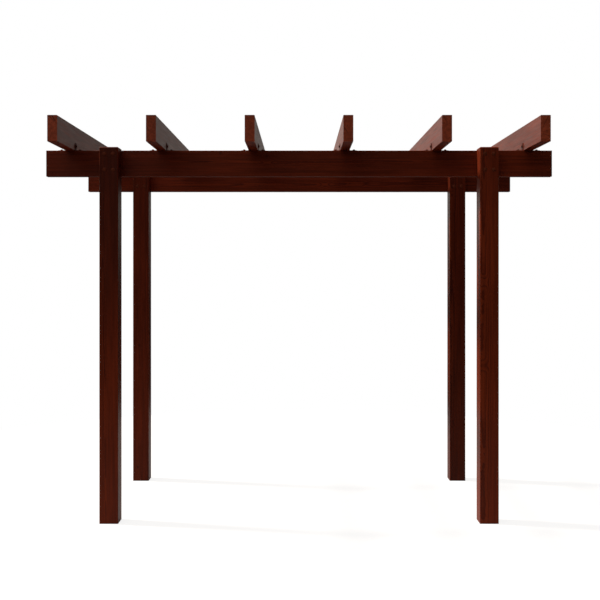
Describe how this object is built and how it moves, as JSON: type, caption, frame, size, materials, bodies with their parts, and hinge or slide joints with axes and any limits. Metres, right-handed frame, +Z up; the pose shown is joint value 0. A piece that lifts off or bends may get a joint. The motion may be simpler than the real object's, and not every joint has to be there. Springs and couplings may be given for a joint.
{
  "type": "wooden pergola",
  "caption": "Free-standing wooden pergola: square posts carry beams front and rear, with open rafters on edge across them, in dark red-brown stain.",
  "frame": {"origin": "on the ground, under the middle of the rafters, at the centre of the footprint", "axes": "+X to the right for someone facing the front, along the beams; +Y from front to back, along the rafters; +Z up"},
  "size_m": [3.276, 2.12, 2.55],
  "materials": {
    "post_timber": "planed softwood, dark red-brown stain, satin",
    "beam_timber": "planed softwood, dark red-brown stain, satin",
    "rafter_timber": "planed softwood, dark red-brown stain, satin",
    "bracket_steel": "folded strip steel, dark coated"
  },
  "bodies": {
    "root": {"beam_front": "beam_timber", "post_front_left": "post_timber", "post_front_right": "post_timber", "beam_rear": "beam_timber", "post_rear_left": "post_timber", "post_rear_right": "post_timber", "rafter_1": "rafter_timber", "brackets_front_1": "bracket_steel", "brackets_rear_1": "bracket_steel", "rafter_2": "rafter_timber", "brackets_front_2": "bracket_steel", "brackets_rear_2": "bracket_steel", "rafter_3": "rafter_timber", "brackets_front_3": "bracket_steel", "brackets_rear_3": "bracket_steel", "rafter_4": "rafter_timber", "brackets_front_4": "bracket_steel", "brackets_rear_4": "bracket_steel", "rafter_5": "rafter_timber", "brackets_front_5": "bracket_steel", "brackets_rear_5": "bracket_steel", "rafter_6": "rafter_timber", "brackets_front_6": "bracket_steel", "brackets_rear_6": "bracket_steel"}
  },
  "joints": []
}
